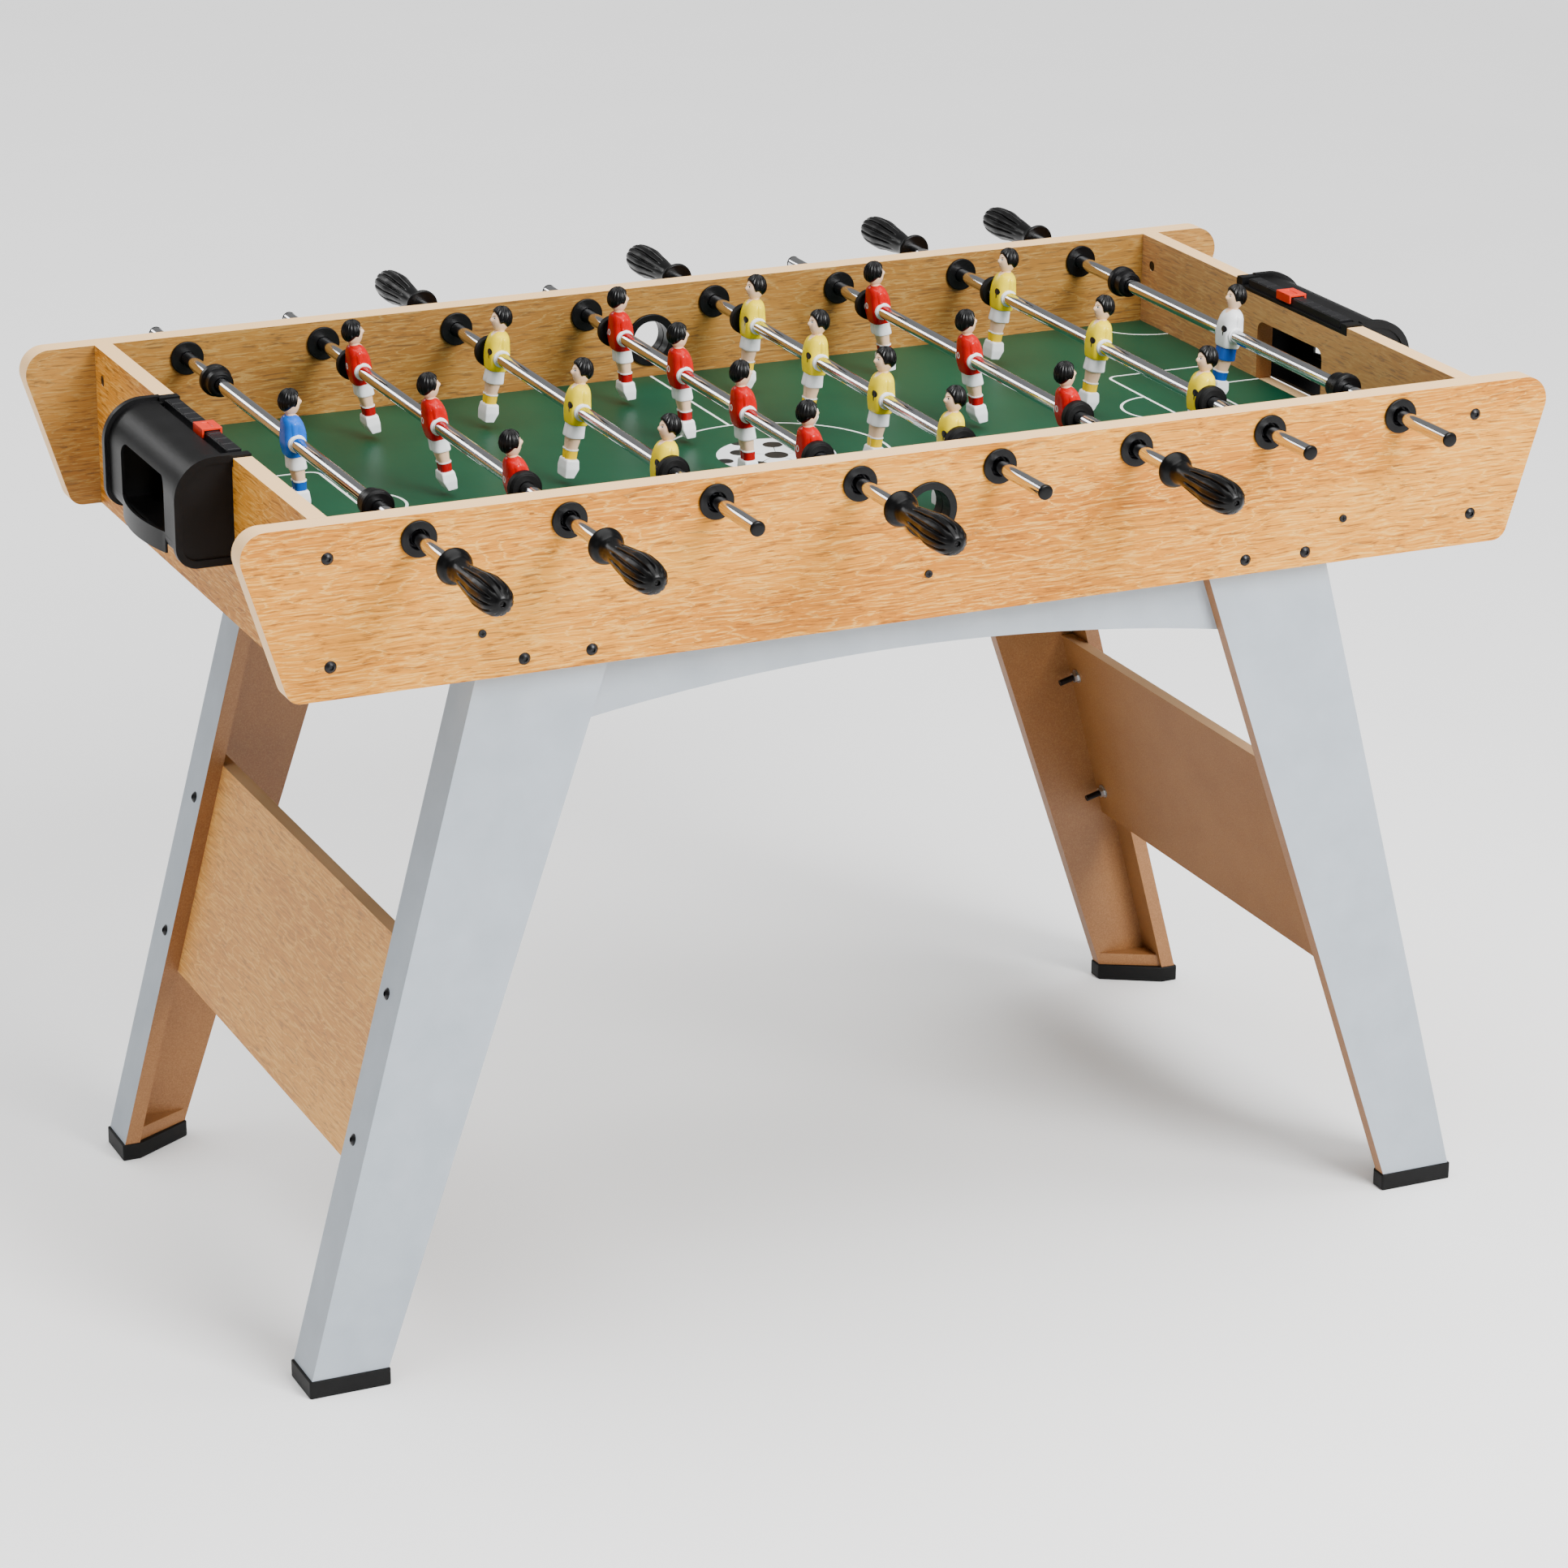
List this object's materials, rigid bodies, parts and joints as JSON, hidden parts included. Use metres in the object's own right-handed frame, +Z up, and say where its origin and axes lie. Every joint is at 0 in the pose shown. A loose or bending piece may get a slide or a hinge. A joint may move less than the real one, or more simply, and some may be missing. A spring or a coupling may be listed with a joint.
{
  "type": "foosball table",
  "caption": "Foosball table: an oak-look cabinet on splayed grey legs, with chrome rods that slide and spin to kick the ball.",
  "frame": {"origin": "centre of the footprint on the floor, under the middle of the playfield", "axes": "+X along the cabinet's length, towards the white goalkeeper's goal; +Y across, towards the rear side panel; +Z up"},
  "size_m": [1.21, 1.001, 0.8024],
  "materials": {
    "oak_laminate": "satin",
    "wall_laminate": "satin",
    "green_field": "satin",
    "raw_fibreboard": "matte",
    "grey_laminate": "matte",
    "black_rubber": "matte",
    "black_plastic": "textured",
    "score_grey": "satin",
    "score_red": "gloss",
    "zinc": "plated",
    "black_zinc": "satin",
    "rod_chrome": "polished",
    "men_blue": "gloss",
    "men_red": "gloss",
    "men_yellow": "gloss",
    "men_white": "gloss",
    "grip_rubber": "satin"
  },
  "bodies": {
    "cabinet": {"front_panel": "oak_laminate", "rear_panel": "oak_laminate", "left_end_wall": "wall_laminate", "right_end_wall": "wall_laminate", "playfield": "green_field", "field_battens": "raw_fibreboard", "front_apron": "grey_laminate", "rear_apron": "grey_laminate", "front_left_leg": "grey_laminate", "front_right_leg": "grey_laminate", "rear_left_leg": "grey_laminate", "rear_right_leg": "grey_laminate", "rubber_feet": "black_rubber", "left_stretcher": "oak_laminate", "right_stretcher": "oak_laminate", "left_goal_box": "black_plastic", "right_goal_box": "black_plastic", "scoring_bars": "score_grey", "ball_entries": "black_plastic", "rod_bushes": "black_plastic", "bush_nuts": "black_plastic", "panel_bolts": "black_zinc", "barrel_nuts": "zinc", "stretcher_bolts": "black_zinc", "hex_nuts": "zinc", "field_screws": "black_zinc"},
    "slide_1": {"stops_1": "black_rubber"},
    "spin_1": {"rod_1": "rod_chrome", "men_1": "men_blue", "handle_1": "grip_rubber"},
    "slide_2": {"stops_2": "black_rubber"},
    "spin_2": {"rod_2": "rod_chrome", "men_2": "men_red", "handle_2": "grip_rubber"},
    "slide_3": {"stops_3": "black_rubber"},
    "spin_3": {"rod_3": "rod_chrome", "men_3": "men_yellow", "handle_3": "grip_rubber"},
    "slide_4": {"stops_4": "black_rubber"},
    "spin_4": {"rod_4": "rod_chrome", "men_4": "men_red", "handle_4": "grip_rubber"},
    "slide_5": {"stops_5": "black_rubber"},
    "spin_5": {"rod_5": "rod_chrome", "men_5": "men_yellow", "handle_5": "grip_rubber"},
    "slide_6": {"stops_6": "black_rubber"},
    "spin_6": {"rod_6": "rod_chrome", "men_6": "men_red", "handle_6": "grip_rubber"},
    "slide_7": {"stops_7": "black_rubber"},
    "spin_7": {"rod_7": "rod_chrome", "men_7": "men_yellow", "handle_7": "grip_rubber"},
    "slide_8": {"stops_8": "black_rubber"},
    "spin_8": {"rod_8": "rod_chrome", "men_8": "men_white", "handle_8": "grip_rubber"},
    "left_score": {"left_score_slider": "score_red"},
    "right_score": {"right_score_slider": "score_red"}
  },
  "joints": [
    {"name": "rod_1_slide", "type": "slide", "parent": "cabinet", "child": "slide_1", "axis": [0, 1, 0], "range_m": [-0.0675, 0.0755]},
    {"name": "rod_1_spin", "type": "hinge", "parent": "slide_1", "child": "spin_1", "pos_m": [-0.455, 0, 0.757], "axis": [0, 1, 0], "continuous": true},
    {"name": "rod_2_slide", "type": "slide", "parent": "cabinet", "child": "slide_2", "axis": [0, 1, 0], "range_m": [-0.0682, 0.0712]},
    {"name": "rod_2_spin", "type": "hinge", "parent": "slide_2", "child": "spin_2", "pos_m": [-0.325, 0, 0.757], "axis": [0, 1, 0], "continuous": true},
    {"name": "rod_3_slide", "type": "slide", "parent": "cabinet", "child": "slide_3", "axis": [0, 1, 0], "range_m": [-0.0602, 0.0792]},
    {"name": "rod_3_spin", "type": "hinge", "parent": "slide_3", "child": "spin_3", "pos_m": [-0.195, 0, 0.757], "axis": [0, 1, 0], "continuous": true},
    {"name": "rod_4_slide", "type": "slide", "parent": "cabinet", "child": "slide_4", "axis": [0, 1, 0], "range_m": [-0.0522, 0.0572]},
    {"name": "rod_4_spin", "type": "hinge", "parent": "slide_4", "child": "spin_4", "pos_m": [-0.065, 0, 0.757], "axis": [0, 1, 0], "continuous": true},
    {"name": "rod_5_slide", "type": "slide", "parent": "cabinet", "child": "slide_5", "axis": [0, 1, 0], "range_m": [-0.0442, 0.0652]},
    {"name": "rod_5_spin", "type": "hinge", "parent": "slide_5", "child": "spin_5", "pos_m": [0.065, 0, 0.757], "axis": [0, 1, 0], "continuous": true},
    {"name": "rod_6_slide", "type": "slide", "parent": "cabinet", "child": "slide_6", "axis": [0, 1, 0], "range_m": [-0.0772, 0.0622]},
    {"name": "rod_6_spin", "type": "hinge", "parent": "slide_6", "child": "spin_6", "pos_m": [0.195, 0, 0.757], "axis": [0, 1, 0], "continuous": true},
    {"name": "rod_7_slide", "type": "slide", "parent": "cabinet", "child": "slide_7", "axis": [0, 1, 0], "range_m": [-0.0737, 0.0657]},
    {"name": "rod_7_spin", "type": "hinge", "parent": "slide_7", "child": "spin_7", "pos_m": [0.325, 0, 0.757], "axis": [0, 1, 0], "continuous": true},
    {"name": "rod_8_slide", "type": "slide", "parent": "cabinet", "child": "slide_8", "axis": [0, 1, 0], "range_m": [-0.063, 0.08]},
    {"name": "rod_8_spin", "type": "hinge", "parent": "slide_8", "child": "spin_8", "pos_m": [0.455, 0, 0.757], "axis": [0, 1, 0], "continuous": true},
    {"name": "left_score_slide", "type": "slide", "parent": "cabinet", "child": "left_score", "axis": [0, 1, 0], "range_m": [-0.058, 0.086]},
    {"name": "right_score_slide", "type": "slide", "parent": "cabinet", "child": "right_score", "axis": [0, 1, 0], "range_m": [-0.088, 0.056]}
  ]
}
